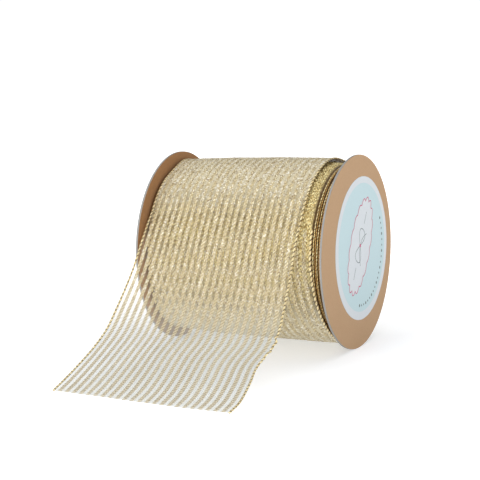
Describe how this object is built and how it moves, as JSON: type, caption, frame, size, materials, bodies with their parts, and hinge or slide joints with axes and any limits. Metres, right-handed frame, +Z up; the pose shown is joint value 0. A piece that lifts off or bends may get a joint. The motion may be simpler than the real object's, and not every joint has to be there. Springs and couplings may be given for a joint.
{
  "type": "ribbon spool",
  "caption": "Cardboard spool with two round flanges, a label and a roll of wide wire-edged gold-striped mesh ribbon, its loose tail hanging off the front onto the table.",
  "frame": {"origin": "on the spool's axis, at the middle of its width", "axes": "+X along the spool's axis towards the labelled flange, +Z up, and the ribbon's tail comes off towards -Y"},
  "size_m": [0.1078, 0.2076, 0.105],
  "materials": {
    "tube_board": "matte",
    "grey_board": "matte",
    "kraft_paper": "matte",
    "label_paper": "satin",
    "tape": "satin",
    "ribbon_mesh": "metallic gold stripes on a sheer pale mesh",
    "binding_thread": "metallic gold thread",
    "edge_wire": "bright"
  },
  "bodies": {
    "outer_turn": {"turn_mesh": "ribbon_mesh", "turn_binding_left": "binding_thread", "turn_binding_right": "binding_thread", "turn_wire_left": "edge_wire", "turn_wire_right": "edge_wire"},
    "spool": {"core_tube": "tube_board", "left_flange_board": "grey_board", "left_flange_outer_liner": "kraft_paper", "left_flange_inner_liner": "kraft_paper", "right_flange_board": "grey_board", "right_flange_outer_liner": "kraft_paper", "right_flange_inner_liner": "kraft_paper", "label": "label_paper", "start_tape": "tape", "roll_mesh": "ribbon_mesh", "roll_binding_left": "binding_thread", "roll_binding_right": "binding_thread", "roll_wire_left": "edge_wire", "roll_wire_right": "edge_wire"},
    "tail": {"tail_mesh": "ribbon_mesh", "tail_binding_left": "binding_thread", "tail_binding_right": "binding_thread", "tail_wire_left": "edge_wire", "tail_wire_right": "edge_wire"}
  },
  "joints": [
    {"name": "spool_turn", "type": "hinge", "parent": "outer_turn", "child": "spool", "pos_m": [0, 0, 0], "axis": [1, 0, 0], "continuous": true},
    {"name": "tail_lift", "type": "hinge", "parent": "outer_turn", "child": "tail", "pos_m": [0, -0.041, 0.0245], "axis": [-1, 0, 0], "range_deg": [0, 60]}
  ]
}
